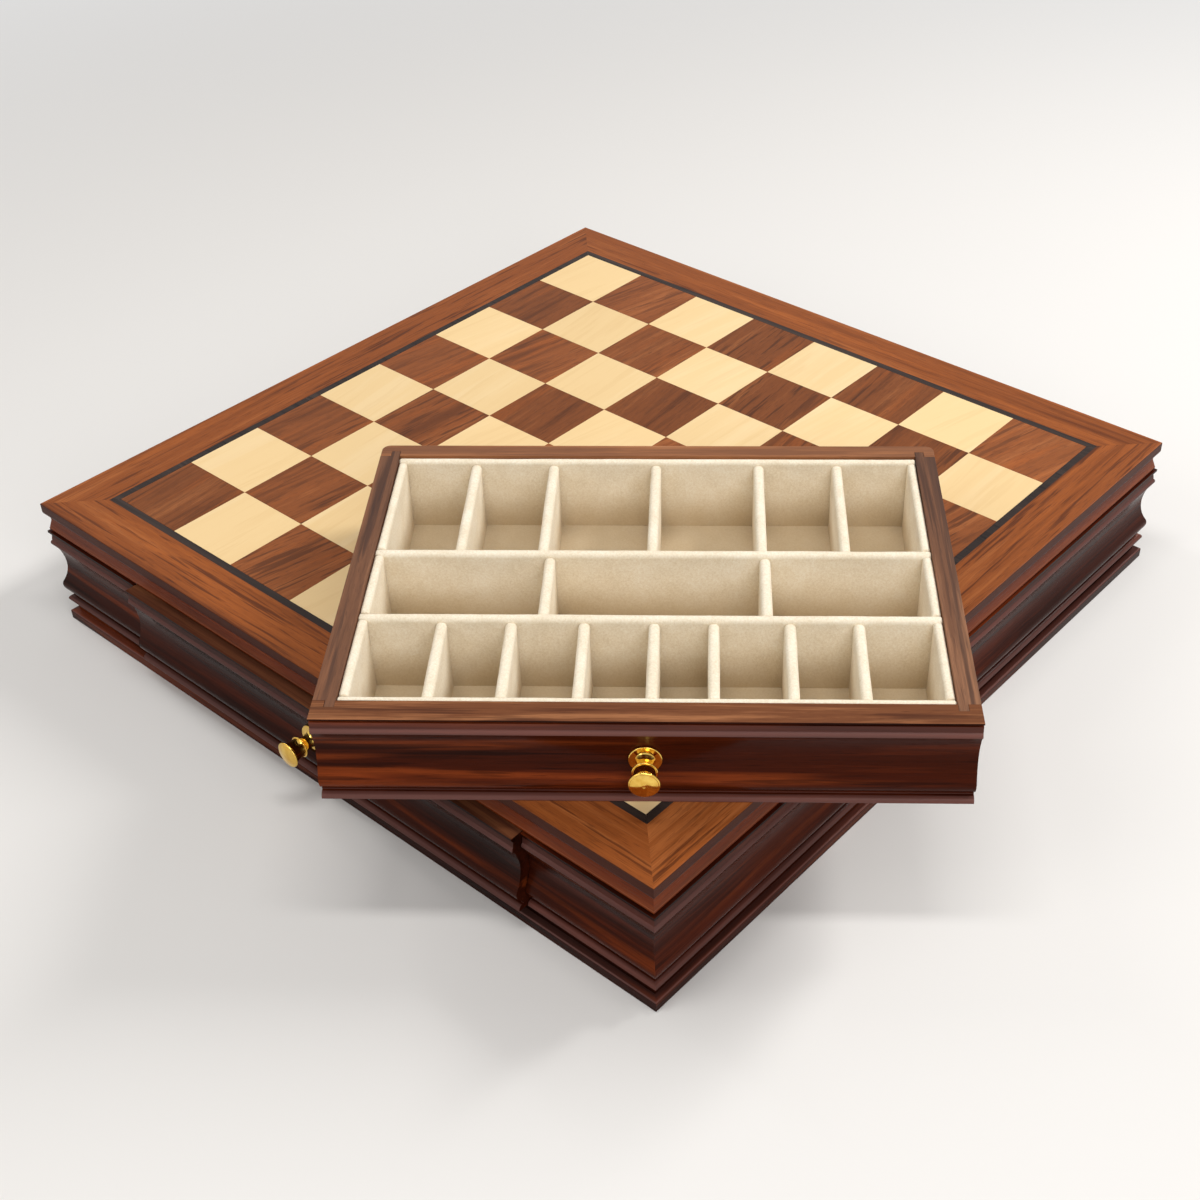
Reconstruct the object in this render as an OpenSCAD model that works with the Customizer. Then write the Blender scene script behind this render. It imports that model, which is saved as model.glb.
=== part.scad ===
// Chess box: a chessboard top on a moulded wooden case that holds two drawers, back to back.
// Each drawer is lined with felt and divided for the chess pieces. The front drawer is in its
// bay, a little open. The rear drawer is out of its bay and lies turned on top of the board.
// Frame: origin at the centre of the case's underside, +Z up, the front drawer towards -Y.

/* [Board] */
// Side of one chess square
square_w = 55; // [44:1:70]
// Width of the black line around the squares
inlay_w = 5; // [2:0.5:8]
// Width of the wooden border outside the black line
border_w = 30.8; // [24:0.1:50]
// Height of the border boards
slab_h = 9; // [7:0.5:11]
// Thickness of the squares and of the black line
veneer_t = 0.8; // [0.5:0.1:2]
// Thickness of the core panel that carries the squares
core_t = 12; // [9:0.5:15]
// Glue line left between neighbouring squares
glue_gap = 0.1; // [0.05:0.05:0.3]

/* [Case] */
// Height of the moulding between the board and the drawers
cornice_h = 12; // [12:0.5:20]
// Height of the plinth under the drawers
plinth_h = 15.5; // [12:0.5:22]
// Thickness of the side panels and of the corner stiles
panel_t = 20; // [16:0.5:28]
// Thickness of the board between the two drawer bays
partition_t = 16; // [9:0.5:25]
// Thickness of the rails on both sides of the bays
guide_t = 12; // [8:0.5:18]
// Thickness of the bottom panel
bottom_panel_t = 6; // [4:0.5:8]
// Width of the flat strip under the bottom panel
batten_w = 60; // [30:1:120]
// Width of the ledges that carry the core panel and the bottom panel
ledge_w = 6; // [4:0.5:10]
// How far the strips over the drawers reach in over a drawer's side
kicker_reach = 20; // [12:1:30]

/* [Moulding] */
// Height of the flat lip along the top of the moulding
lip_h = 1; // [0.6:0.1:1.5]
// Height of the groove under the lip
lip_groove_h = 2.2; // [1.8:0.1:2.5]
// Depth of the groove under the lip
lip_groove_d = 3; // [1.5:0.1:4]
// Height of the sloping band between the groove and the upper bead
fascia_h = 2.8; // [2.4:0.1:3.2]
// How far the band's top lies in from the nose
fascia_top_in = 1.4; // [1.2:0.1:2]
// How far the band's foot lies in from the nose
fascia_low_in = 1; // [0.8:0.1:1.2]
// Height of the upper bead
bead_h = 4.2; // [4:0.1:5]
// Radius of the upper bead's top edge
bead_r = 3; // [2:0.1:3.2]
// Depth of the cove at its middle, from the nose
cove_d = 4.8; // [3:0.1:6.5]
// How far both ends of the cove lie in from the nose
cove_end = 1.2; // [0.5:0.1:1.5]
// Height of the cove's lower curve, from the round below it up to its deepest line
cove_low_h = 14.5; // [12:0.5:15]
// Radius of the round below the cove
bulge_r = 7; // [4:0.5:7.5]
// Height of the round below the cove, over the groove below it
bulge_h = 9; // [8:0.5:9.5]
// Height of the foot bead
foot_bead_h = 3.5; // [3.5:0.1:4.5]
// How far the foot bead lies in from the nose
foot_bead_in = 1.2; // [0.5:0.1:2]
// Radius of the foot bead's top edge
foot_bead_r = 3; // [1.5:0.1:3]
// Height of the groove over the foot bead
quirk_h = 3; // [2:0.1:3.5]

/* [Drawers] */
// Width of a drawer
drawer_w = 329; // [240:1:400]
// Height of a drawer
drawer_h = 54.9; // [51:0.1:75]
// Thickness of a drawer's front, from its nose to its inner face
front_t = 14.3; // [12:0.1:20]
// Thickness of a drawer's sides and back
side_t = 11.4; // [9:0.1:16]
// Width and length of the tongues at the ends of a drawer's sides
tongue = 5; // [3:0.5:6]
// Thickness of a drawer's bottom panel
floor_t = 4; // [3:0.5:6]
// Height of a drawer's bottom panel over the lower edge of its walls
floor_up = 3; // [2:0.5:5]
// Depth of the groove that holds a drawer's bottom panel
floor_groove = 4; // [2:0.5:5]
// Radius of the upright outer corners at a drawer's back
back_corner_r = 5; // [1:0.5:8]
// Gap between a drawer and the case on each side
side_gap = 0.75; // [0.4:0.05:2]
// Gap over a drawer in its bay
top_gap = 0.5; // [0.3:0.05:2]
// Gap under a drawer in its bay
run_gap = 0.1; // [0.05:0.05:0.3]
// Gap left behind a drawer when its front is flush with the case
stop_gap = 0.2; // [0.1:0.1:2]
// How far the front drawer is open
front_open = 6; // [0:0.5:200]
// Turn of the loose drawer on the board, in degrees
loose_turn = 39.1; // [0:0.1:90]
// Place of the loose drawer's centre, to the right of the board's centre
loose_x = 136.9; // [-150:0.1:150]
// Place of the loose drawer's centre, behind the board's centre
loose_y = -118.1; // [-150:0.1:150]
// Gap between the loose drawer and the board under it
rest_gap = 0.05; // [0.02:0.01:0.2]

/* [Felt insert] */
// Thickness of the felt-covered boards along the drawer's walls
liner_t = 5; // [3:0.5:7]
// Thickness of the felt-covered dividers
divider_t = 6; // [4:0.5:8]
// Thickness of the felt-covered card on the drawer's bottom
pad_t = 1.2; // [0.8:0.1:2]
// How far the liners and the long dividers end below the drawer's rim
liner_low = 1; // [0.5:0.1:4]
// How far the cross dividers end below the drawer's rim
divider_low = 2.5; // [1:0.1:6]
// Gap between the insert and the wood, and between its own boards
insert_gap = 0.3; // [0.1:0.05:0.5]
// Depth of the front row of compartments
front_row_d = 60.5; // [45:1:75]
// Depth of the middle row of compartments
middle_row_d = 51.5; // [40:1:65]
// Widths of the front row's compartments, left to right, as parts of the row
front_row = [35.6, 30.7, 32.3, 30.7, 25.1, 33.7, 29.9, 34.9];
// Widths of the middle row's compartments, left to right, as parts of the row
middle_row = [88.5, 112, 82.5];
// Widths of the back row's compartments, left to right, as parts of the row
back_row = [38, 40, 54.5, 54.5, 40, 38];

/* [Knobs] */
// Diameter of a knob's back flange
flange_dia = 17.2; // [14:0.1:22]
// Thickness of a knob's back flange
flange_t = 1.8; // [1:0.1:3]
// Diameter of a knob's neck at its waist
neck_dia = 8; // [7:0.1:9.5]
// Diameter of the ring round a knob's neck
ring_dia = 13.2; // [11:0.1:14.5]
// Thickness of that ring
ring_t = 0.9; // [0.6:0.1:1.2]
// Length of the hollow between a knob's flange and its ring
hollow_l = 8.3; // [6.5:0.1:9.5]
// Length of a knob's bell, from its ring to its head
bell_l = 7.2; // [4:0.1:12]
// Diameter of a knob's head
head_dia = 16; // [15.2:0.1:22]
// Thickness of a knob's head at its edge
head_t = 1.6; // [1:0.1:3]
// Height of the dome on a knob's head
dome_h = 1.2; // [0.6:0.1:3]
// How far a knob's middle lies below the cove's deepest line
knob_drop = 3.5; // [0:0.5:6]
// Diameter of the screw that holds a knob
knob_screw_dia = 4; // [3:0.5:5]
// How far the knob's screw reaches into the knob
knob_screw_in = 9; // [6:0.5:11]
// Diameter of the knob screw's head
knob_screw_head_dia = 8; // [6.5:0.1:9]
// Height of the knob screw's head
knob_screw_head_h = 2.6; // [2:0.1:3.5]

/* [Plinth screws] */
// Diameter of the screws that hold the plinth to the case
plinth_screw_dia = 3.6; // [3:0.1:5]
// Length of the plinth screws
plinth_screw_l = 32; // [24:1:40]
// Diameter of the plinth screws' countersunk heads
plinth_screw_head_dia = 7; // [6:0.1:9]
// Gap around every screw in its hole
screw_gap = 0.1; // [0.05:0.05:0.3]

/* [Hidden] */
$fn = 64;

// Squares along one side of a chessboard
squares = 8;
// How far a cutting shape reaches past the surface that it cuts
over = 1;

// Board
field_w = squares * square_w;
core_w = field_w + 2 * inlay_w;
board_w = core_w + 2 * border_w;
edge = board_w / 2;

// Case heights
drawer_z = plinth_h + run_gap;
bay_h = run_gap + drawer_h + top_gap;
cornice_z = plinth_h + bay_h;
slab_z = cornice_z + cornice_h;
board_z = slab_z + slab_h;
core_z = board_z - veneer_t - core_t;

// Border and cornice edges
border_edge_r = 0.6;
border_low_r = 3;
// Gap around the core panel, the bottom panel and the strip under it
panel_gap = 0.2;
cornice_back = border_w + ledge_w;
cornice_neck_in = 3;
cornice_neck_h = 4;
cornice_nose_in = 1.3;
cornice_nose_r = 1.9;

// Plinth
plinth_in = 0.7;
plinth_edge_r = 1.2;
plinth_low_r = 0.5;
plinth_neck_h = 8.4;
plinth_neck_in = 5;
plinth_panel_in = 14;
plinth_back = plinth_panel_in + ledge_w;
bottom_panel_z = plinth_h - bottom_panel_t;

// Bays
bay_w = drawer_w + 2 * side_gap;
drawer_d = edge - partition_t / 2 - stop_gap;

// Drawer inside
inner_w = drawer_w - 2 * side_t;
inner_front = front_t;
inner_back = drawer_d - side_t;
pad_z = floor_up + floor_t;
insert_z = pad_z + pad_t;
groove_fit = 0.2;

// Rows of compartments, measured from the nose of the drawer's front
liner_front_y = inner_front + insert_gap;
front_row_y = liner_front_y + liner_t + insert_gap;
long_1_y = front_row_y + front_row_d;
middle_row_y = long_1_y + divider_t;
long_2_y = middle_row_y + middle_row_d;
back_row_y = long_2_y + divider_t;
liner_back_y = inner_back - insert_gap - liner_t;
back_row_d = liner_back_y - insert_gap - back_row_y;
row_x0 = -inner_w / 2 + insert_gap + liner_t;
row_w = -2 * row_x0;

// Moulding: heights over the foot of the drawer
fascia_top = drawer_h - lip_h - lip_groove_h;
bead_top = fascia_top - fascia_h;
bead_low = bead_top - bead_h;
bead_low_r = 0.8;
foot_low_r = 0.4;
cove_low = foot_bead_h + quirk_h + bulge_h;
cove_mid = cove_low + cove_low_h;
cove_sag = cove_d - cove_end;
// The cove's two curves meet at its deepest line
cove_low_r = arc_r(cove_low_h, cove_sag);
cove_high_r = arc_r(bead_low - cove_mid, cove_sag);
// How far the flat core of the moulding lies behind the cove
spine_past = 0.2;
spine_in = cove_d + spine_past;
// How far a rounded edge's arc runs into the flat sides beside it
round_lap = 0.05;
// The round under the cove meets the cove's lower curve where that ends, and runs into it by a hair
bulge_lap = 0.02;
bulge_reach = cove_low_r + bulge_r - bulge_lap;
bulge_x = cove_low_r - cove_d - bulge_reach * (cove_low_r - cove_sag) / cove_low_r;
bulge_y = cove_mid - bulge_reach * cove_low_h / cove_low_r;

// Knobs
knob_z = cove_mid - knob_drop;
knob_seat_in = cove_d;
// Gap around the flange in its flat round seat
seat_gap = 0.2;
flange_edge_r = 0.5;
// The hollow and the bell end halfway through the ring and the head, this far inside their edges
hollow_end_in = 0.3;
bell_end_in = 0.4;
hollow_all = hollow_l + ring_t / 2;
bell_all = bell_l + (ring_t + head_t) / 2;
// Places of the hollow's waist and of the bell's, as parts of their lengths
hollow_waist = 0.43;
bell_waist = 0.3;
// How far the bell's waist lies inside the ring
bell_in = 0.9;
// How far the dome's foot lies inside the flat of the head
dome_in = 0.2;
dome_foot = (head_dia - head_t) / 2 - dome_in;
dome_r = arc_r(dome_foot, dome_h);
// How far a knob's bore goes on past its screw, and how deep the screw's head lies in the front
bore_past = 1;
knob_bore_l = knob_screw_in + bore_past;
head_sink = 0.4;
counterbore_d = knob_screw_head_h + head_sink;

// Plinth screws
plinth_screw_in = (plinth_neck_in + plinth_panel_in) / 2;
plinth_screw_sink = 0.5;
plinth_screw_head_h = (plinth_screw_head_dia - plinth_screw_dia) / 2;
// Distance of a side's outer plinth screws from the end of the case
end_screw_in = 75;
side_screw_y = edge - end_screw_in;
stile_screw_x = (bay_w / 2 + edge) / 2;

rosewood = [0.48, 0.26, 0.15];
dark_rosewood = [0.36, 0.17, 0.11];
maple = [0.87, 0.76, 0.53];
ebonised = [0.08, 0.07, 0.07];
mahogany = [0.27, 0.11, 0.08];
drawer_wood = [0.30, 0.17, 0.13];
plywood = [0.66, 0.50, 0.33];
felt = [0.83, 0.78, 0.67];
brass = [0.85, 0.63, 0.20];
steel = [0.62, 0.62, 0.62];

// Radius of a circular arc that is sag deep at half its chord
function arc_r(half_chord, sag) = (pow(half_chord, 2) + pow(sag, 2)) / (2 * sag);
// Sum of the first n entries of a list
function sum_first(list, n) = n <= 0 ? 0 : list[n - 1] + sum_first(list, n - 1);
// Middle of the divider after compartment n of a row, along X
function divider_x(row, n) =
    let (open_w = row_w - (len(row) - 1) * divider_t - 2 * insert_gap)
    row_x0 + insert_gap + open_w * sum_first(row, n) / sum_first(row, len(row)) + (n - 0.5) * divider_t;

// ---- Shared shapes ----

// A section in X (outward) and Y (up) becomes a run of the given length along X that faces -Y
module run(length) {
    mirror([0, 1, 0]) rotate([90, 0, 90]) linear_extrude(length, center = true) children();
}

// Keeps the front quarter of the case, cut along its mitres
module front_quarter() {
    reach = edge + over;
    intersection() {
        children();
        translate([0, 0, -over]) linear_extrude(board_z + 2 * over)
            polygon([[0, 0], [-reach, -reach], [reach, -reach]]);
    }
}

// One mitred side of the case: turn 0 is the front, 90 the right, 180 the rear, 270 the left
module mitred_side(turn, z) {
    rotate([0, 0, turn])
        front_quarter() translate([0, -edge, z]) run(board_w) children();
}

// Rectangle from x0 to 0 and y0 to y1, with round corners on its outer side
module outer_round(x0, y0, y1, r_top, r_low) {
    difference() {
        translate([x0, y0]) square([-x0, y1 - y0]);
        translate([-r_top, y1 - r_top]) square([r_top + over, r_top + over]);
        translate([-r_low, y0 - over]) square([r_low + over, r_low + over]);
    }
    intersection() {
        translate([-r_top, y1 - r_top]) circle(r_top);
        translate([-r_top - round_lap, y1 - r_top - round_lap]) square([r_top + over, r_top + over]);
    }
    intersection() {
        translate([-r_low, y0 + r_low]) circle(r_low);
        translate([-r_low - round_lap, y0 + round_lap - over])
            square([r_low + over, r_low + over]);
    }
}

// Part of the cove's hollow between two heights, with its deepest line at cove_mid
module cove_cut(r, y0, y1) {
    intersection() {
        translate([r - cove_d, cove_mid]) circle(r, $fn = 180);
        translate([-spine_in, y0]) square([2 * spine_in, y1 - y0]);
    }
}

// Section of the drawer fronts, side panels and stiles, from the nose plane inwards
module moulding_section(back, above, below) {
    translate([-back, -below]) square([back - spine_in, drawer_h + above + below]);
    translate([-spine_in - over, drawer_h - lip_h]) square([spine_in + over, lip_h + above]);
    translate([-spine_in - over, fascia_top - over])
        square([spine_in + over - lip_groove_d, lip_groove_h + 2 * over]);
    polygon([
        [-spine_in - over, bead_top - bead_r],
        [-fascia_low_in, bead_top - bead_r],
        [-fascia_low_in, bead_top],
        [-fascia_top_in, fascia_top],
        [-spine_in - over, fascia_top]
    ]);
    outer_round(-spine_in - over, bead_low, bead_top, bead_r, bead_low_r);
    difference() {
        translate([-spine_in - over, cove_low]) square([spine_in + over, bead_low - cove_low + over]);
        cove_cut(cove_low_r, cove_low - over, cove_mid);
        cove_cut(cove_high_r, cove_mid, bead_top);
    }
    translate([bulge_x, bulge_y]) circle(bulge_r);
    translate([-foot_bead_in, 0])
        outer_round(foot_bead_in - spine_in - over, 0, foot_bead_h, foot_bead_r, foot_low_r);
}

module cornice_section() {
    foot_in = cornice_nose_in + cornice_nose_r;
    difference() {
        union() {
            translate([-cornice_back, 0]) square([cornice_back - foot_in, cornice_h]);
            polygon([
                [-foot_in - over, cornice_nose_r],
                [-cornice_nose_in, cornice_nose_r],
                [-cornice_neck_in, cornice_h - cornice_neck_h],
                [-cornice_neck_in, cornice_h],
                [-foot_in - over, cornice_h]
            ]);
            translate([-foot_in, cornice_nose_r]) circle(cornice_nose_r);
        }
        translate([-cornice_back - over, core_z - cornice_z])
            square([ledge_w + panel_gap + over, cornice_h]);
    }
}

module border_section() {
    outer_round(-border_w, 0, slab_h, border_edge_r, border_low_r);
}

module plinth_section() {
    difference() {
        union() {
            translate([-plinth_in, 0])
                outer_round(plinth_in - plinth_back, 0, plinth_h - plinth_neck_h,
                    plinth_edge_r, plinth_low_r);
            translate([-plinth_back, 0]) square([plinth_back - plinth_neck_in, plinth_h]);
        }
        translate([-plinth_back - over, bottom_panel_z])
            square([plinth_back - plinth_panel_in + over, plinth_h]);
    }
}

// Section of a felt-covered board: straight sides and a round top
module felt_section(thick, high) {
    translate([-thick / 2, 0]) square([thick, high - thick / 2]);
    translate([0, high - thick / 2]) circle(d = thick);
}

// ---- Board ----

module core_panel() {
    color(plywood) translate([-core_w / 2, -core_w / 2, core_z]) cube([core_w, core_w, core_t]);
}

// Every second square of the board: parity 0 gives the dark ones
module squares_of(parity) {
    for (i = [0 : squares - 1]) {
        for (j = [0 : squares - 1]) {
            if ((i + j) % 2 == parity) {
                translate([i * square_w - field_w / 2, j * square_w - field_w / 2, board_z - veneer_t])
                    translate([glue_gap / 2, glue_gap / 2, 0])
                        cube([square_w - glue_gap, square_w - glue_gap, veneer_t]);
            }
        }
    }
}

module light_squares() {
    color(maple) squares_of(1);
}

module dark_squares() {
    color(dark_rosewood) squares_of(0);
}

module inlay_line() {
    color(ebonised) for (turn = [0 : 90 : 270]) {
        rotate([0, 0, turn]) intersection() {
            translate([-core_w / 2, -core_w / 2, board_z - veneer_t])
                cube([core_w, inlay_w - glue_gap, veneer_t]);
            linear_extrude(board_z + over)
                polygon([[-glue_gap, -glue_gap], [glue_gap - edge, -edge], [edge - glue_gap, -edge],
                    [glue_gap, -glue_gap]]);
        }
    }
}

module border(turn) {
    color(rosewood) mitred_side(turn, slab_z) border_section();
}

module border_front() { border(0); }
module border_right() { border(90); }
module border_rear() { border(180); }
module border_left() { border(270); }

// ---- Case ----

module cornice(turn) {
    color(rosewood) mitred_side(turn, cornice_z) cornice_section();
}

module cornice_front() { cornice(0); }
module cornice_right() { cornice(90); }
module cornice_rear() { cornice(180); }
module cornice_left() { cornice(270); }

// Moulded wall of the case, with the pilot holes of the plinth screws
module case_wall(turn, screws_x) {
    difference() {
        mitred_side(turn, drawer_z) moulding_section(panel_t, top_gap, run_gap);
        rotate([0, 0, turn]) for (x = screws_x) {
            translate([x, plinth_screw_in - edge, plinth_h - over])
                cylinder(d = plinth_screw_dia + 2 * screw_gap, h = plinth_screw_l - plinth_h + 2 * over);
        }
    }
}

module side_panel(turn) {
    color(mahogany) case_wall(turn, [-side_screw_y, 0, side_screw_y]);
}

module side_panel_right() { side_panel(90); }
module side_panel_left() { side_panel(270); }

// Corner stile beside a bay: side 1 is to the right of the bay as seen from outside
module stile(turn, side) {
    color(mahogany) intersection() {
        case_wall(turn, [side * stile_screw_x]);
        rotate([0, 0, turn]) translate([side > 0 ? bay_w / 2 : -edge, -edge - over, 0])
            cube([edge - bay_w / 2, edge, board_z]);
    }
}

module stile_front_left() { stile(0, -1); }
module stile_front_right() { stile(0, 1); }
module stile_rear_left() { stile(180, 1); }
module stile_rear_right() { stile(180, -1); }

// Places of the plinth screws along the two kinds of side
function plinth_screws_x(turn) =
    turn % 180 == 0 ? [-stile_screw_x, stile_screw_x] : [-side_screw_y, 0, side_screw_y];

module plinth_screw(gap) {
    translate([0, 0, plinth_screw_sink]) {
        cylinder(d = plinth_screw_dia + 2 * gap, h = plinth_screw_l - plinth_screw_sink);
        cylinder(d1 = plinth_screw_head_dia + 2 * gap, d2 = plinth_screw_dia + 2 * gap,
            h = plinth_screw_head_h);
    }
}

module plinth(turn) {
    color(mahogany) difference() {
        mitred_side(turn, 0) plinth_section();
        rotate([0, 0, turn]) for (x = plinth_screws_x(turn)) {
            translate([x, plinth_screw_in - edge, 0]) {
                plinth_screw(screw_gap);
                translate([0, 0, -over])
                    cylinder(d = plinth_screw_head_dia + 2 * screw_gap, h = plinth_screw_sink + over);
            }
        }
    }
}

module plinth_front() { plinth(0); }
module plinth_right() { plinth(90); }
module plinth_rear() { plinth(180); }
module plinth_left() { plinth(270); }

module plinth_screws() {
    color(steel) for (turn = [0 : 90 : 270]) {
        rotate([0, 0, turn]) for (x = plinth_screws_x(turn)) {
            translate([x, plinth_screw_in - edge, 0]) plinth_screw(0);
        }
    }
}

module bottom_panel() {
    w = board_w - 2 * plinth_panel_in - 2 * panel_gap;
    color(plywood) translate([-w / 2, -w / 2, bottom_panel_z]) cube([w, w, bottom_panel_t]);
}

module centre_partition() {
    color(plywood) translate([-bay_w / 2, -partition_t / 2, plinth_h])
        cube([bay_w, partition_t, core_z - plinth_h]);
}

// Strip under the bottom panel, from the front plinth to the rear one, level with the plinth's foot
module foot_batten() {
    length = board_w - 2 * plinth_back - 2 * panel_gap;
    color(plywood) translate([-batten_w / 2, -length / 2, 0]) cube([batten_w, length, bottom_panel_z]);
}

// Rails along both sides of the bays
module guides() {
    color(plywood) for (x0 = [bay_w / 2, -bay_w / 2 - guide_t]) {
        translate([x0, panel_t - edge, plinth_h]) cube([guide_t, board_w - 2 * panel_t, bay_h]);
    }
}

// Strips under the core panel that keep an open drawer from tipping, two over each bay
module kickers() {
    length = edge - cornice_back - partition_t / 2;
    color(plywood) for (turn = [0, 180]) {
        rotate([0, 0, turn]) for (side = [-1, 1]) {
            translate([side > 0 ? bay_w / 2 - kicker_reach : -bay_w / 2 - guide_t,
                partition_t / 2, cornice_z])
                cube([kicker_reach + guide_t, length, core_z - cornice_z]);
        }
    }
}

// ---- Drawers, in a frame of their own: X across, Y from the nose of the front to the back ----

module in_front_bay() {
    translate([0, -edge - front_open, drawer_z]) children();
}

module on_board() {
    translate([loose_x, loose_y, board_z + rest_gap]) rotate([0, 0, loose_turn])
        translate([0, -drawer_d / 2, 0]) children();
}

// Space that a drawer's bottom panel fills in the walls around it
module floor_panel(fit) {
    reach = floor_groove - groove_fit + fit;
    translate([-inner_w / 2 - reach, inner_front - reach, floor_up - fit])
        cube([inner_w + 2 * reach, inner_back - inner_front + 2 * reach, floor_t + 2 * fit]);
}

// Side wall with its tongues, grown by fit on every side; side 1 is on the right
module side_tongues(side, fit) {
    x0 = inner_w / 2 - fit;
    mirror([side > 0 ? 0 : 1, 0, 0]) translate([x0, inner_front - tongue - fit, -fit])
        cube([tongue + 2 * fit, inner_back - inner_front + 2 * (tongue + fit), drawer_h + 2 * fit]);
}

module drawer_front() {
    color(mahogany) difference() {
        run(drawer_w) moulding_section(front_t, 0, 0);
        floor_panel(groove_fit / 2);
        for (side = [-1, 1]) side_tongues(side, groove_fit / 2);
        translate([0, -over, knob_z]) rotate([-90, 0, 0])
            cylinder(d = knob_screw_dia + 2 * screw_gap, h = front_t + 2 * over);
        translate([0, front_t - counterbore_d, knob_z]) rotate([-90, 0, 0])
            cylinder(d = knob_screw_head_dia + 2 * screw_gap, h = counterbore_d + over);
        translate([0, knob_seat_in, knob_z]) rotate([90, 0, 0])
            cylinder(d = flange_dia + 2 * seat_gap, h = knob_seat_in + over);
    }
}

module drawer_side(side) {
    color(drawer_wood) difference() {
        union() {
            mirror([side > 0 ? 0 : 1, 0, 0]) translate([inner_w / 2, inner_front, 0])
                cube([side_t, inner_back - inner_front, drawer_h]);
            side_tongues(side, 0);
        }
        floor_panel(groove_fit / 2);
    }
}

module drawer_back() {
    color(drawer_wood) difference() {
        linear_extrude(drawer_h) {
            translate([-drawer_w / 2, inner_back]) square([drawer_w, side_t - back_corner_r]);
            translate([back_corner_r - drawer_w / 2, inner_back])
                square([drawer_w - 2 * back_corner_r, side_t]);
            for (side = [-1, 1])
                translate([side * (drawer_w / 2 - back_corner_r), drawer_d - back_corner_r])
                    circle(back_corner_r);
        }
        floor_panel(groove_fit / 2);
        for (side = [-1, 1]) side_tongues(side, groove_fit / 2);
    }
}

module drawer_bottom() {
    color(plywood) floor_panel(0);
}

module floor_felt() {
    color(felt) translate([-inner_w / 2 + insert_gap, inner_front + insert_gap, pad_z])
        cube([inner_w - 2 * insert_gap, inner_back - inner_front - 2 * insert_gap, pad_t]);
}

// Felt-covered board across the drawer, from y to y + thick
module felt_across(y, thick) {
    color(felt) translate([0, y + thick / 2, insert_z])
        run(inner_w - 2 * insert_gap) felt_section(thick, drawer_h - liner_low - insert_z);
}

// Felt-covered board from front to back, with its middle at x
module felt_along(x, y, length, thick, low) {
    color(felt) translate([x, y + length / 2, insert_z]) rotate([0, 0, 90])
        run(length - 2 * insert_gap) felt_section(thick, drawer_h - low - insert_z);
}

module front_liner() { felt_across(liner_front_y, liner_t); }
module back_liner() { felt_across(liner_back_y, liner_t); }
module long_divider_1() { felt_across(long_1_y, divider_t); }
module long_divider_2() { felt_across(long_2_y, divider_t); }

module side_liners() {
    for (side = [-1, 1]) {
        for (row = [[front_row_y, front_row_d], [middle_row_y, middle_row_d], [back_row_y, back_row_d]])
            felt_along(side * (row_w + liner_t) / 2, row[0], row[1], liner_t, liner_low);
    }
}

module row_dividers(row, y, depth) {
    for (n = [1 : len(row) - 1]) felt_along(divider_x(row, n), y, depth, divider_t, divider_low);
}

module front_row_dividers() { row_dividers(front_row, front_row_y, front_row_d); }
module middle_row_dividers() { row_dividers(middle_row, middle_row_y, middle_row_d); }
module back_row_dividers() { row_dividers(back_row, back_row_y, back_row_d); }

// Half section of a flat disc with a round edge, from height 0
module disc_section(dia, thick) {
    square([(dia - thick) / 2, thick]);
    translate([(dia - thick) / 2, thick / 2]) circle(thick / 2);
}

// Half section of a part that is hollow between its ends, with its waist at a part of its length
module hollow_section(length, waist_x, waist_part, end_x) {
    radius = arc_r((1 - waist_part) * length, end_x - waist_x);
    difference() {
        square([end_x, length]);
        translate([waist_x + radius, waist_part * length]) circle(radius, $fn = 96);
    }
}

// Turned knob on its axis: flange at height 0, then hollow, ring, bell and head
module knob_section() {
    ring_y = flange_t + hollow_l;
    bell_y = ring_y + ring_t;
    head_y = bell_y + bell_l;
    square([flange_dia / 2 - flange_edge_r, flange_t]);
    square([flange_dia / 2, flange_t - flange_edge_r]);
    translate([flange_dia / 2 - flange_edge_r, flange_t - flange_edge_r]) circle(flange_edge_r);
    translate([0, flange_t])
        hollow_section(hollow_all, neck_dia / 2, hollow_waist, ring_dia / 2 - hollow_end_in);
    translate([0, ring_y]) disc_section(ring_dia, ring_t);
    translate([0, bell_y - ring_t / 2])
        hollow_section(bell_all, ring_dia / 2 - bell_in, bell_waist, head_dia / 2 - bell_end_in);
    translate([0, head_y]) disc_section(head_dia, head_t);
    intersection() {
        translate([0, head_y + head_t + dome_h - dome_r]) circle(dome_r, $fn = 180);
        translate([0, head_y]) square([dome_foot + dome_in, head_t + dome_h + over]);
    }
}

module knob() {
    color(brass) translate([0, knob_seat_in, knob_z]) rotate([90, 0, 0]) difference() {
        rotate_extrude() knob_section();
        translate([0, 0, -over]) cylinder(d = knob_screw_dia + 2 * screw_gap, h = knob_bore_l + over);
    }
}

module knob_screw() {
    head_y = front_t - counterbore_d;
    color(steel) translate([0, head_y, knob_z]) rotate([90, 0, 0]) {
        cylinder(d = knob_screw_dia, h = head_y - knob_seat_in + knob_screw_in);
        translate([0, 0, -knob_screw_head_h]) cylinder(d = knob_screw_head_dia, h = knob_screw_head_h);
    }
}

// ---- Nodes ----

core_panel();
light_squares();
dark_squares();
inlay_line();
border_front();
border_right();
border_rear();
border_left();
cornice_front();
cornice_right();
cornice_rear();
cornice_left();
side_panel_right();
side_panel_left();
stile_front_left();
stile_front_right();
stile_rear_left();
stile_rear_right();
plinth_front();
plinth_right();
plinth_rear();
plinth_left();
bottom_panel();
foot_batten();
centre_partition();
guides();
kickers();
plinth_screws();

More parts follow.
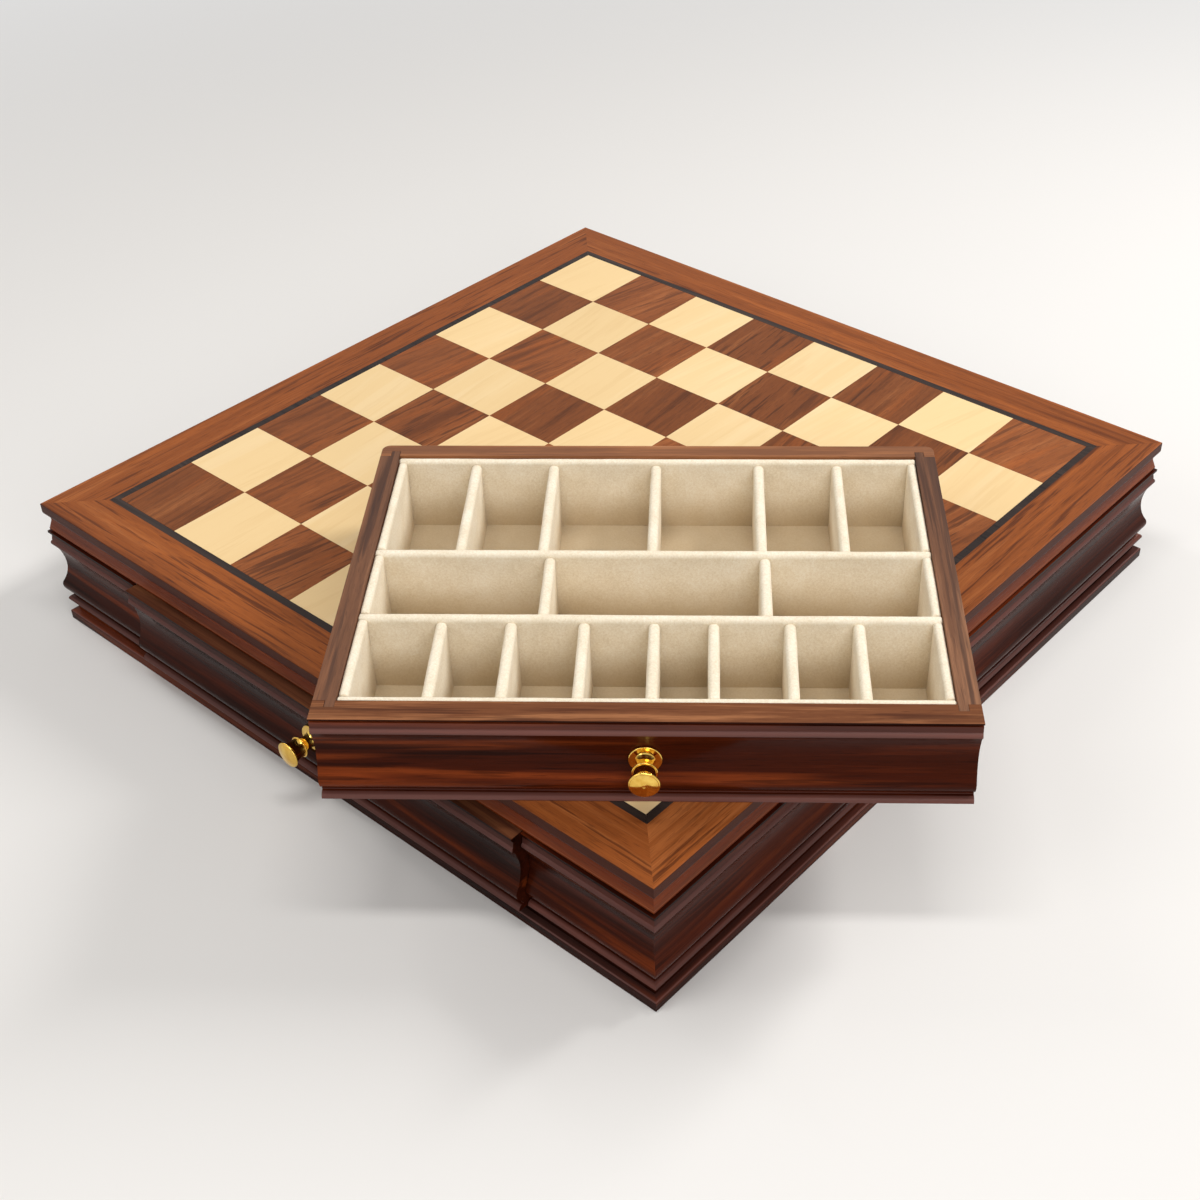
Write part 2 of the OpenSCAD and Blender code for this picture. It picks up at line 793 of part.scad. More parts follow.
in_front_bay() drawer_front();  // front_drawer_front
in_front_bay() drawer_side(1);  // front_drawer_right_side
in_front_bay() drawer_side(-1);  // front_drawer_left_side
in_front_bay() drawer_back();  // front_drawer_back
in_front_bay() drawer_bottom();  // front_drawer_bottom
in_front_bay() floor_felt();  // front_drawer_floor_felt
in_front_bay() front_liner();  // front_drawer_front_liner
in_front_bay() back_liner();  // front_drawer_back_liner
in_front_bay() side_liners();  // front_drawer_side_liners
in_front_bay() long_divider_1();  // front_drawer_long_divider_1
in_front_bay() long_divider_2();  // front_drawer_long_divider_2
in_front_bay() front_row_dividers();  // front_drawer_front_row_dividers
in_front_bay() middle_row_dividers();  // front_drawer_middle_row_dividers
in_front_bay() back_row_dividers();  // front_drawer_back_row_dividers
in_front_bay() knob();  // front_drawer_knob
in_front_bay() knob_screw();  // front_drawer_knob_screw

on_board() drawer_front();  // loose_drawer_front
on_board() drawer_side(1);  // loose_drawer_right_side
on_board() drawer_side(-1);  // loose_drawer_left_side
on_board() drawer_back();  // loose_drawer_back
on_board() drawer_bottom();  // loose_drawer_bottom
on_board() floor_felt();  // loose_drawer_floor_felt
on_board() front_liner();  // loose_drawer_front_liner
on_board() back_liner();  // loose_drawer_back_liner
on_board() side_liners();  // loose_drawer_side_liners
on_board() long_divider_1();  // loose_drawer_long_divider_1
on_board() long_divider_2();  // loose_drawer_long_divider_2
on_board() front_row_dividers();  // loose_drawer_front_row_dividers
on_board() middle_row_dividers();  // loose_drawer_middle_row_dividers
on_board() back_row_dividers();  // loose_drawer_back_row_dividers
on_board() knob();  // loose_drawer_knob
on_board() knob_screw();  // loose_drawer_knob_screw
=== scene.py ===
"""Looks of a chess box with drawers: finishes, felt inserts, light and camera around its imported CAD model."""

import math

import bpy
from mathutils import Matrix, Vector, noise


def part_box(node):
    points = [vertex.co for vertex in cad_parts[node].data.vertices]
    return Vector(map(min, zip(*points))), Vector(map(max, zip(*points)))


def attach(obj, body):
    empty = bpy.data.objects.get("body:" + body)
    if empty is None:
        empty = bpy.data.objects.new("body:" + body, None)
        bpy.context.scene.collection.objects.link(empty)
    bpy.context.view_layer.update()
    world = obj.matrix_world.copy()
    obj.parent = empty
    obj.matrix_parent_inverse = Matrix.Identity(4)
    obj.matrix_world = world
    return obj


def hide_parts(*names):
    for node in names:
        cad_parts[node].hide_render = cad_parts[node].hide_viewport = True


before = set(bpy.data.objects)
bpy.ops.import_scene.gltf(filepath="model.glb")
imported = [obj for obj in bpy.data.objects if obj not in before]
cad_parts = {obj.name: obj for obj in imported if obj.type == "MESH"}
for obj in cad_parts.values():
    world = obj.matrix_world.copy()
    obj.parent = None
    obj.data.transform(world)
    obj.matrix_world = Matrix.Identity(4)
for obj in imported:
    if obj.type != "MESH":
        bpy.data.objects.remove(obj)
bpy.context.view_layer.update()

# ---- Places and sizes from the frame ----

BAY_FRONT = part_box("front_drawer_front")
BAY_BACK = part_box("front_drawer_back")
DRAWER_D = BAY_BACK[1].y - BAY_FRONT[0].y
LOOSE_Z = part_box("loose_drawer_front")[0].z
DRAWER_TALL = BAY_FRONT[1].z - BAY_FRONT[0].z
LOOSE_TURN = math.radians(39.1)
LOOSE_CENTRE = (0.1369, -0.1181)
INLAY_W = 0.005
SQUARE = (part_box("core_panel")[1].x - INLAY_W) / 4
FELT_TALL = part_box("front_drawer_back_liner")[1].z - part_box("front_drawer_back_liner")[0].z
# Painted highlight on the moulding at heights over the drawer's foot, from its foot bead to its upper bead: how
# much its beads and fascia are lightened
HIGHLIGHT_HEIGHTS = ((0.0, 0.9), (0.0024, 0.9), (0.0029, 0.5), (0.004, 0.5), (0.0044, 0.0),
                (0.0448, 0.0), (0.0456, 1.0), (0.0478, 1.0), (0.0485, 0.45), (0.0514, 0.45), (0.0518, 0.0))
# The moulding's groove begins at this height over the drawer's foot, within this much, and gets this much
# painted shade
GROOVE_FOOT = 0.0517
GROOVE_SOFT = 0.0002
GROOVE_SHADE = 0.75
# How far a face has to turn outward to get the moulding's painted highlight and painted groove shade, from not
# at all to fully
FACING = (0.05, 0.3)
# A front's flat top: how level it lies, and over which share of the drawer's height
TOP_LEVEL = (0.9, 0.98)
TOP_HEIGHT = (0.98, 0.99)

# A drawer's own frame has its origin at the foot of its front, in the middle of the nose plane
DRAWERS = {
    "front_drawer": Matrix.Translation((0, BAY_FRONT[0].y, BAY_FRONT[0].z)),
    "loose_drawer": Matrix.Translation((*LOOSE_CENTRE, LOOSE_Z))
    @ Matrix.Rotation(LOOSE_TURN, 4, "Z")
    @ Matrix.Translation((0, -DRAWER_D / 2, 0)),
}


# ---- Materials ----

def srgb(red, green, blue):
    """Linear colour of an 8-bit sRGB one."""
    def linear(c):
        c /= 255
        return c / 12.92 if c <= 0.04045 else ((c + 0.055) / 1.055) ** 2.4
    return (linear(red), linear(green), linear(blue), 1)


class Finish:
    """A material and short calls that build its node tree."""

    def __init__(self, name, **inputs):
        self.material = bpy.data.materials.new(name)
        self.material.use_nodes = True
        self.tree = self.material.node_tree
        self.shader = self.tree.nodes["Principled BSDF"]
        for socket, value in inputs.items():
            self.shader.inputs[socket.replace("_", " ")].default_value = value

    def add(self, kind, out=0, settings=None, **inputs):
        """Adds a node and returns its output. An input is a value or another node's output."""
        node = self.tree.nodes.new("ShaderNode" + kind)
        for key, value in (settings or {}).items():
            setattr(node, key, value)
        for key, value in inputs.items():
            numbered = key[0] == "i" and key[1:].isdigit()
            socket = node.inputs[int(key[1:]) if numbered else key.replace("_", " ")]
            if isinstance(value, bpy.types.NodeSocket):
                self.tree.links.new(value, socket)
            else:
                socket.default_value = value
        return node.outputs[out]

    def math(self, operation, a, b=0.0):
        return self.add("Math", settings={"operation": operation}, i0=a, i1=b)

    def move(self, operation, a, b):
        return self.add("VectorMath", settings={"operation": operation}, i0=a, i1=b)

    def noise(self, at, scale, detail=2.0, rough=0.5, out=0):
        return self.add("TexNoise", out=out, Vector=at, Scale=scale, Detail=detail, Roughness=rough)

    def spread(self, value, low, high, to_low=0.0, to_high=1.0):
        """Maps low..high to to_low..to_high, smoothly and clamped."""
        return self.add("MapRange", settings={"interpolation_type": "SMOOTHSTEP"}, i0=value, i1=low, i2=high,
                        i3=to_low, i4=to_high)

    def mix(self, factor, a, b):
        node = self.tree.nodes.new("ShaderNodeMix")
        node.data_type = "RGBA"
        for socket, value in ((node.inputs[0], factor), (node.inputs[6], a), (node.inputs[7], b)):
            if isinstance(value, bpy.types.NodeSocket):
                self.tree.links.new(value, socket)
            else:
                socket.default_value = value
        return node.outputs[2]

    def ramp(self, value, stops):
        node = self.tree.nodes.new("ShaderNodeValToRGB")
        node.color_ramp.elements.remove(node.color_ramp.elements[1])
        for k, (place, colour) in enumerate(stops):
            element = node.color_ramp.elements[0] if k == 0 else node.color_ramp.elements.new(place)
            element.position = place
            element.color = colour
        self.tree.links.new(value, node.inputs[0])
        return node.outputs[0]

    def feed(self, value, socket):
        self.tree.links.new(value, self.shader.inputs[socket])

    def bump(self, height, depth, strength=1.0):
        self.feed(self.add("Bump", Height=height, Distance=depth, Strength=strength), "Normal")


# How many times longer along the grain a wood's figure is than across it
STRETCH = 26.0
SQUARE_STRETCH = 16.0
PLY_STRETCH = 12.0
# Noise scales that all woods share, per metre across the grain
BEND_SCALE = 50.0
DRIFT_SCALE = 6.0
CLUSTER_SCALE = 24.0
FIBRE_SCALE = 1300.0
PORE_SCALE = 2300.0
# How much bands, streaks and the slow drift over a board add to its tone
BAND_SHARE = 0.42
STREAK_SHARE = 0.40
DRIFT_SHARE = 0.18
# Share of a look's reach that has its plain middle colour
PLAIN = 0.23
# The glow and the veins come from other places of the noise
GLOW_SHIFT = (3.1, 1.7, 4.3)
VEIN_SHIFT = (5.3, 2.9, 0.7)
# How soft the glow and the veins set in, and where and how much the veins cluster
GLOW_SPAN = 0.1
VEIN_SPAN = 0.08
CLUSTER_SPAN = (0.40, 0.60)
CLUSTER_LEAST = 0.25
# How far one step of a board's seed moves it in the noise
SEED_STEPS = (1.37, 2.11, 0.73)
# How far the fibres change the roughness, and how deep they are in metres
ROUGH_SPAN = 0.14
FIBRE_DEPTH = 0.00005
PLY_LAYER = 0.003


def stretched(f, at, along, stretch):
    """Coordinates in metres across the grain, and squeezed along it."""
    squeeze = [1.0, 1.0, 1.0]
    squeeze["XYZ".index(along)] = 1 / stretch
    return f.move("MULTIPLY", at, squeeze)


def grain_space(f, along, turn, seed, stretch=STRETCH):
    """Coordinates of one board's own place in the noise, along its grain."""
    at = f.add("TexCoord", out="Object")
    if turn:
        at = f.add("VectorRotate", settings={"rotation_type": "Z_AXIS"}, Vector=at, Angle=-turn)
    return f.move("ADD", stretched(f, at, along, stretch), [seed * step for step in SEED_STEPS])


def wood_grain(f, at, look):
    """Colour, fibre height and pore mask of a wood, from its look."""
    bend = f.move("SUBTRACT", f.noise(at, BEND_SCALE, 2.0, out=1), (0.5, 0.5, 0.5))
    at = f.move("ADD", at, f.move("MULTIPLY", bend, (look["wander"],) * 3))
    bands = f.noise(at, look["band_scale"], 2.0, 0.55)
    streaks = f.noise(at, look["streak_scale"], 4.0, 0.62)
    drift = f.noise(f.add("TexCoord", out="Object"), DRIFT_SCALE, 1.0)
    tone = f.math("ADD", f.math("MULTIPLY", bands, BAND_SHARE), f.math("MULTIPLY", streaks, STREAK_SHARE))
    tone = f.math("ADD", tone, f.math("MULTIPLY", drift, DRIFT_SHARE))
    near, far = PLAIN * look["reach"], look["reach"]
    colour = f.ramp(tone, [(0.5 - far, look["dark"]), (0.5 - near, look["mid"]), (0.5 + near, look["mid"]),
                           (0.5 + far, look["light"])])
    glow = f.noise(f.move("ADD", at, GLOW_SHIFT), look["glow_scale"], 3.0, 0.6)
    glow = f.spread(glow, look["glow_from"], look["glow_from"] + GLOW_SPAN, 0.0, look["glow"])
    colour = f.mix(glow, colour, look["glow_colour"])
    vein = f.noise(f.move("ADD", at, VEIN_SHIFT), look["vein_scale"], 3.0, 0.6)
    vein = f.spread(vein, look["vein_from"], look["vein_from"] + VEIN_SPAN)
    cluster = f.spread(f.noise(at, CLUSTER_SCALE, 1.0), *CLUSTER_SPAN, CLUSTER_LEAST, look["vein"])
    colour = f.mix(f.math("MULTIPLY", vein, cluster), colour, look["vein_colour"])
    fibres = f.noise(at, FIBRE_SCALE, 3.0, 0.65)
    colour = f.mix(f.spread(fibres, 0.3, 0.7, 0.0, look["fibre"]), colour, look["dark"])
    pores = f.spread(f.noise(at, PORE_SCALE, 1.0, 0.5), 0.60, 0.70, 0.0, look["pores"])
    colour = f.mix(pores, colour, look["vein_colour"])
    return colour, fibres, pores


def finish_wood(f, colour, fibres, pores, look):
    f.feed(colour, "Base Color")
    f.feed(f.math("ADD", f.math("MULTIPLY", fibres, ROUGH_SPAN), look["rough"] - ROUGH_SPAN / 2), "Roughness")
    f.bump(f.math("SUBTRACT", f.math("MULTIPLY", fibres, 0.5), pores), FIBRE_DEPTH)
    return f.material


def moulding(f, colour, look, foot, outward):
    """Colour with painted highlights on the beads and painted shade in the groove, on what faces outward, and
    the height as a share.
    """
    height = f.add("SeparateXYZ", out=2, Vector=f.add("TexCoord", out="Object"))
    height = f.math("MULTIPLY", f.math("SUBTRACT", height, foot), 1 / DRAWER_TALL)
    facing = f.add("VectorMath", out=1, settings={"operation": "DOT_PRODUCT"},
                   i0=f.add("NewGeometry", out="Normal"), i1=(*outward, 0))
    facing = f.spread(facing, *FACING)
    # Painted highlight: beads and fascia lightened by height where they face outward
    highlight_mask = f.ramp(height, [(h / DRAWER_TALL, (w, w, w, 1)) for h, w in HIGHLIGHT_HEIGHTS])
    highlight_mask = f.math("MULTIPLY", f.math("MULTIPLY", highlight_mask, facing), look["painted_highlight"])
    colour = f.mix(highlight_mask, colour, look["painted_highlight_colour"])
    # Painted shade: the groove under the lip darkened where it faces outward
    low, high = ((GROOVE_FOOT + soft) / DRAWER_TALL for soft in (-GROOVE_SOFT, GROOVE_SOFT))
    groove_shade = f.spread(height, low, high, 0.0, GROOVE_SHADE)
    return f.mix(f.math("MULTIPLY", groove_shade, facing), colour, look["vein_colour"]), height


def wood(name, look, along, turn=0.0, seed=0.0, top=None, foot=None, outward=None):
    """Wood with its grain along one axis. Upright faces may be darkened as painted shade, and upward-turned
    slopes lightened as a painted highlight.

    A moulding has its foot at a height and faces outward, gets painted highlights on its beads and painted
    shade in its groove, and its flat top may have its own look."""
    f = Finish(name, Specular_IOR_Level=look["specular"])
    at = grain_space(f, along, turn, seed)
    colour, fibres, pores = wood_grain(f, at, look)
    upward = f.add("SeparateXYZ", out=2, Vector=f.add("NewGeometry", out="Normal"))
    # Painted shade: upright faces darkened towards a dark colour
    if look["edge"]:
        colour = f.mix(f.spread(upward, 0.35, 0.8, look["edge"], 0.0), colour, look["edge_colour"])
    if outward:
        colour, height = moulding(f, colour, look, foot, outward)
        if top:
            level = f.math("MULTIPLY", f.spread(upward, *TOP_LEVEL), f.spread(height, *TOP_HEIGHT))
            colour = f.mix(level, colour, wood_grain(f, at, top)[0])
    # Painted highlight: upward-turned slopes lightened, level tops less
    elif look["painted_highlight"]:
        highlight_mask = f.math("SUBTRACT", f.spread(upward, 0.15, 0.45), f.spread(upward, 0.75, 0.97, 0.0, 0.7))
        colour = f.mix(f.math("MULTIPLY", highlight_mask, look["painted_highlight"]), colour, look["painted_highlight_colour"])
    return finish_wood(f, colour, fibres, pores, look)


def squares_wood(name, look, along, seed, tone_low, tone_high):
    """Wood in which every square of the board is cut from another place and has its own tone."""
    f = Finish(name, Specular_IOR_Level=look["specular"])
    cell = f.move("MULTIPLY", f.add("TexCoord", out="Object"), (1 / SQUARE, 1 / SQUARE, 0))
    cell = f.move("FLOOR", cell, (0, 0, 0))
    pick = f.add("TexWhiteNoise", out="Color", Vector=f.move("ADD", cell, (seed, 0.5, 0.5)))
    tone = f.add("TexWhiteNoise", out="Value", Vector=f.move("ADD", cell, (0.5, seed, 0.5)))
    at = f.add("TexCoord", out="Object")
    skew = f.math("MULTIPLY", f.math("SUBTRACT", tone, 0.35), 0.4)
    at = f.add("VectorRotate", settings={"rotation_type": "Z_AXIS"}, Vector=at, Angle=skew)
    at = f.move("ADD", stretched(f, at, along, SQUARE_STRETCH), f.move("MULTIPLY", pick, (5, 5, 5)))
    colour, fibres, pores = wood_grain(f, at, look)
    bright = f.spread(tone, 0.0, 1.0, tone_low, tone_high)
    colour = f.add("HueSaturation", Color=colour, Value=bright)
    return finish_wood(f, colour, fibres, pores, look)


def plywood(name, along, layers, turn=0.0, seed=0.0):
    """Birch plywood: plain faces, and edges with thin light and dark layers stacked along one axis."""
    f = Finish(name, Specular_IOR_Level=0.3)
    at = grain_space(f, along, turn, seed, PLY_STRETCH)
    place = f.add("SeparateXYZ", out="XYZ".index(layers), Vector=f.add("TexCoord", out="Object"))
    layer = f.math("FRACT", f.math("MULTIPLY", place, 1 / PLY_LAYER))
    colour, fibres, pores = wood_grain(f, at, LOOKS["birch"])
    colour = f.mix(f.spread(layer, 0.46, 0.54, 0.0, 0.35), colour, srgb(120, 84, 52))
    f.feed(colour, "Base Color")
    f.feed(f.math("ADD", f.math("MULTIPLY", fibres, 0.15), 0.5), "Roughness")
    f.bump(fibres, 0.00006)
    return f.material


# Share of the felt's height, from its floor up, that gets painted shade
SHADE_REACH = 0.65


def felt_finish(name, floor_z):
    """Short wool felt: cream, finely mottled, with painted shade towards the floor, and a few darker fibres in
    it.
    """
    f = Finish(name, Sheen_Weight=0.2, Sheen_Roughness=0.5, Sheen_Tint=srgb(255, 246, 232), Roughness=1.0,
               Specular_IOR_Level=0.1)
    at = f.add("TexCoord", out="Object")
    blot = f.noise(at, 60.0, 3.0, 0.6)
    fuzz = f.noise(at, 800.0, 4.0, 0.75)
    hair = f.noise(f.move("MULTIPLY", at, (1.0, 0.45, 1.0)), 2800.0, 2.0, 0.7)
    colour = f.ramp(f.math("ADD", f.math("MULTIPLY", blot, 0.35), f.math("MULTIPLY", fuzz, 0.65)),
                    [(0.36, srgb(232, 217, 190)), (0.5, srgb(244, 232, 209)), (0.64, srgb(253, 245, 227))])
    colour = f.mix(f.spread(hair, 0.60, 0.72, 0.0, 0.3), colour, srgb(198, 174, 140))
    height = f.add("SeparateXYZ", out=2, Vector=at)
    # Painted shade: the felt darkened towards the drawer's floor
    floor_shade = f.spread(height, floor_z, floor_z + SHADE_REACH * FELT_TALL, 0.65, 0.0)
    colour = f.mix(floor_shade, colour, srgb(190, 166, 128))
    f.feed(colour, "Base Color")
    f.bump(f.math("ADD", f.math("MULTIPLY", fuzz, 0.7), f.math("MULTIPLY", hair, 0.3)), 0.0005, 0.6)
    return f.material


def brass_finish():
    f = Finish("brass", Metallic=1.0)
    at = f.add("TexCoord", out="Object")
    smear = f.noise(at, 260.0, 3.0, 0.6)
    f.feed(f.spread(smear, 0.3, 0.75, 0.05, 0.16), "Roughness")
    f.feed(f.ramp(smear, [(0.35, srgb(240, 202, 104)), (0.7, srgb(222, 172, 74))]), "Base Color")
    f.bump(f.noise(at, 900.0, 2.0), 0.00001, 0.5)
    return f.material


def steel_finish():
    f = Finish("screw_steel", Metallic=1.0)
    at = f.add("TexCoord", out="Object")
    grey = f.noise(at, 900.0, 3.0, 0.6)
    f.feed(f.ramp(grey, [(0.3, srgb(140, 142, 145)), (0.7, srgb(190, 190, 188))]), "Base Color")
    f.feed(f.spread(grey, 0.3, 0.7, 0.25, 0.45), "Roughness")
    f.bump(grey, 0.00003)
    return f.material


# Besides the wood, a look holds a painted highlight for beads and upward-turned slopes and painted shade for
# upright faces, each as an amount and a colour
ROSEWOOD = {
    "dark": srgb(104, 52, 22), "mid": srgb(146, 80, 38), "light": srgb(174, 103, 55),
    "vein_colour": srgb(66, 31, 18), "vein": 0.75, "vein_scale": 330.0, "vein_from": 0.55,
    "glow_colour": srgb(182, 102, 48), "glow": 0.45, "glow_scale": 70.0, "glow_from": 0.54,
    "band_scale": 45.0, "streak_scale": 210.0, "wander": 0.004, "fibre": 0.3, "pores": 0.45,
    "reach": 0.12, "rough": 0.42, "specular": 0.1, "painted_highlight": 0.0, "edge": 0.92, "edge_colour": srgb(64, 22, 8),
}
DARK_ROSEWOOD = {
    "dark": srgb(46, 17, 8), "mid": srgb(76, 28, 12), "light": srgb(108, 44, 20),
    "vein_colour": srgb(30, 11, 7), "vein": 0.55, "vein_scale": 220.0, "vein_from": 0.54,
    "glow_colour": srgb(166, 76, 33), "glow": 0.6, "glow_scale": 60.0, "glow_from": 0.55,
    "band_scale": 45.0, "streak_scale": 150.0, "wander": 0.004, "fibre": 0.2, "pores": 0.35,
    "reach": 0.10, "rough": 0.2, "specular": 0.05, "edge": 0.0,
    "painted_highlight": 0.6, "painted_highlight_colour": srgb(150, 108, 102),
}
DRAWER_WOOD = {
    "dark": srgb(80, 54, 42), "mid": srgb(116, 79, 58), "light": srgb(150, 106, 78),
    "vein_colour": srgb(62, 44, 39), "vein": 0.75, "vein_scale": 120.0, "vein_from": 0.53,
    "glow_colour": srgb(158, 104, 72), "glow": 0.4, "glow_scale": 50.0, "glow_from": 0.55,
    "band_scale": 60.0, "streak_scale": 200.0, "wander": 0.012, "fibre": 0.25, "pores": 0.4,
    "reach": 0.075, "rough": 0.48, "specular": 0.14, "edge": 0.0, "painted_highlight": 0.0,
}
LOOKS = {
    "rosewood": ROSEWOOD,
    "cornice": {**ROSEWOOD, "dark": srgb(90, 34, 12), "mid": srgb(128, 54, 20), "light": srgb(158, 76, 34),
                "vein": 0.5, "glow_colour": srgb(164, 80, 34), "rough": 0.26, "edge": 0.0,
                "painted_highlight": 0.3, "painted_highlight_colour": srgb(196, 126, 88)},
    # The case and the bay drawer's front are darker copies of the loose drawer's front: painted shade
    "shaded_case_wood": {**DARK_ROSEWOOD, "dark": srgb(36, 13, 6), "mid": srgb(60, 21, 9), "light": srgb(90, 35, 16),
                  "glow_colour": srgb(140, 62, 26), "painted_highlight": 0.38},
    "front_drawer_front": {**DARK_ROSEWOOD, "dark": srgb(38, 14, 7), "mid": srgb(64, 23, 10),
                           "light": srgb(94, 37, 17), "glow_colour": srgb(140, 62, 26), "painted_highlight": 0.38},
    "loose_drawer_front": DARK_ROSEWOOD,
    "squares": {**ROSEWOOD, "dark": srgb(104, 58, 32), "mid": srgb(138, 79, 43), "light": srgb(164, 100, 58),
                "vein_colour": srgb(70, 40, 26), "vein": 0.7, "vein_scale": 260.0, "vein_from": 0.52,
                "glow_colour": srgb(168, 92, 44), "edge": 0.0, "painted_highlight": 0.0},
    "maple": {
        "dark": srgb(237, 204, 150), "mid": srgb(241, 210, 157), "light": srgb(245, 217, 168),
        "vein_colour": srgb(226, 190, 134), "vein": 0.2, "vein_scale": 130.0, "vein_from": 0.56,
        "glow_colour": srgb(249, 225, 182), "glow": 0.3, "glow_scale": 40.0, "glow_from": 0.55,
        "band_scale": 24.0, "streak_scale": 120.0, "wander": 0.01, "fibre": 0.1, "pores": 0.05,
        "reach": 0.13, "rough": 0.42, "specular": 0.2, "edge": 0.0, "painted_highlight": 0.0,
    },
    "line": {
        "dark": srgb(36, 29, 27), "mid": srgb(50, 41, 38), "light": srgb(66, 54, 49),
        "vein_colour": srgb(20, 18, 20), "vein": 0.6, "vein_scale": 200.0, "vein_from": 0.56,
        "glow_colour": srgb(66, 56, 54), "glow": 0.3, "glow_scale": 60.0, "glow_from": 0.56,
        "band_scale": 40.0, "streak_scale": 200.0, "wander": 0.004, "fibre": 0.2, "pores": 0.3,
        "reach": 0.13, "rough": 0.42, "specular": 0.1, "edge": 0.0, "painted_highlight": 0.0,
    },
    "drawer_wood": DRAWER_WOOD,
    "drawer_back": {**DRAWER_WOOD, "dark": srgb(126, 82, 56), "mid": srgb(160, 106, 70),
                    "light": srgb(186, 129, 90), "vein_colour": srgb(92, 56, 42), "vein": 0.5},
    "drawer_rim": {**DRAWER_WOOD, "dark": srgb(84, 47, 32), "mid": srgb(120, 74, 48),
                   "light": srgb(162, 108, 72), "vein_colour": srgb(68, 38, 28), "vein": 0.7,
                   "glow_colour": srgb(168, 98, 62)},
    "birch": {
        "dark": srgb(180, 142, 98), "mid": srgb(204, 168, 122), "light": srgb(220, 188, 144),
        "vein_colour": srgb(164, 122, 78), "vein": 0.4, "vein_scale": 90.0, "vein_from": 0.56,
        "glow_colour": srgb(214, 176, 126), "glow": 0.3, "glow_scale": 40.0, "glow_from": 0.55,
        "band_scale": 24.0, "streak_scale": 120.0, "wander": 0.012, "fibre": 0.12, "pores": 0.25,
        "reach": 0.13, "rough": 0.55, "specular": 0.3, "edge": 0.0, "painted_highlight": 0.0,
    },
}


# ---- CAD pieces that keep their shape ----

# Points nearer than this are one point, and edges sharper than this are rounded by one of these widths
WELD = 0.000005
SHARP = math.radians(32)
EDGE = 0.0003
BORDER_EDGE = 0.0004
VENEER_EDGE = 0.00005
SCREW_EDGE = 0.00015


def soften(obj, width):
    """Rounds a CAD piece's sharp edges by a hair and shades it smoothly."""
    weld = obj.modifiers.new("weld", "WELD")
    weld.merge_threshold = WELD
    bevel = obj.modifiers.new("bevel", "BEVEL")
    bevel.width = width
    bevel.segments = 2
    bevel.limit_method = "ANGLE"
    bevel.angle_limit = SHARP
    bevel.use_clamp_overlap = True
    obj.modifiers.new("normals", "WEIGHTED_NORMAL")


def dress(node, material, width=EDGE):
    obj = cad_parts[node]
    obj.data.materials.clear()
    obj.data.materials.append(material)
    if width:
        soften(obj, width)


def dress_case():
    """Dresses the board and the case. The last whole number of each wood is its board's seed."""
    foot = BAY_FRONT[0].z
    sides = {"front": "X", "right": "Y", "rear": "X", "left": "Y"}
    for k, (side, along) in enumerate(sides.items()):
        border = wood(f"rosewood_border_{side}", LOOKS["rosewood"], along, 0, 1 + k)
        dress(f"border_{side}", border, BORDER_EDGE)
        dress(f"cornice_{side}", wood(f"rosewood_cornice_{side}", LOOKS["cornice"], along, 0, 11 + k))
        dress(f"plinth_{side}", wood(f"rosewood_plinth_{side}", LOOKS["shaded_case_wood"], along, 0, 21 + k))
    for k, side in enumerate(("right", "left")):
        dress(f"side_panel_{side}",
              wood(f"rosewood_panel_{side}", LOOKS["shaded_case_wood"], "Y", 0, 31 + k, None, foot, (1 - 2 * k, 0)))
    for k, corner in enumerate(("front_left", "front_right", "rear_left", "rear_right")):
        outward = (0, -1 if k < 2 else 1)
        dress(f"stile_{corner}",
              wood(f"rosewood_stile_{corner}", LOOKS["shaded_case_wood"], "X", 0, 41 + k, None, foot, outward))
    maple = squares_wood("maple_squares", LOOKS["maple"], "Y", 3.5, 0.96, 1.04)
    dress("light_squares", maple, VENEER_EDGE)
    rosewood = squares_wood("rosewood_squares", LOOKS["squares"], "Y", 7.5, 0.82, 1.16)
    dress("dark_squares", rosewood, VENEER_EDGE)
    dress("inlay_line", wood("black_line", LOOKS["line"], "X", 0, 5), VENEER_EDGE)
    dress("core_panel", plywood("ply_core", "X", "Z", 0, 51))
    dress("bottom_panel", plywood("ply_bottom", "X", "Z", 0, 52))
    dress("foot_batten", plywood("ply_batten", "Y", "Z", 0, 53))
    dress("centre_partition", plywood("ply_partition", "X", "Y", 0, 54))
    dress("guides", plywood("ply_guides", "Y", "X", 0, 55))
    dress("kickers", plywood("ply_kickers", "Y", "Z", 0, 56))
    dress("plinth_screws", STEEL, SCREW_EDGE)


def dress_drawer(drawer, turn, seed):
    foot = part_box(f"{drawer}_front")[0].z
    outward = (math.sin(turn), -math.cos(turn))
    # The bay drawer's front gets a darker copy of the loose front's look, as painted shade
    look, rim = LOOKS[f"{drawer}_front"], LOOKS["drawer_rim"]
    dress(f"{drawer}_front", wood(f"{drawer}_front_wood", look, "X", turn, seed, rim, foot, outward))
    boards = (("right_side", "Y", "drawer_wood"), ("left_side", "Y", "drawer_wood"),
              ("back", "X", "drawer_back"))
    for k, (part, along, look) in enumerate(boards):
        dress(f"{drawer}_{part}", wood(f"{drawer}_{part}_wood", LOOKS[look], along, turn, seed + 1 + k))
    dress(f"{drawer}_bottom", plywood(f"{drawer}_bottom_wood", "X", "Z", turn, seed + 5))
    dress(f"{drawer}_knob", BRASS, 0.0)
    dress(f"{drawer}_knob_screw", STEEL, SCREW_EDGE)


# ---- Felt inserts ----

FELT_PARTS = ("floor_felt", "front_liner", "back_liner", "side_liners", "long_divider_1", "long_divider_2",
              "front_row_dividers", "middle_row_dividers", "back_row_dividers")
# Spacing of the felt meshes' points, and how far their waves and nap lift them
FELT_STEP = 0.005
FELT_WAVE = 0.00022
FELT_NAP = 0.00008
WAVE_SCALE = 28
NAP_SCALE = 420
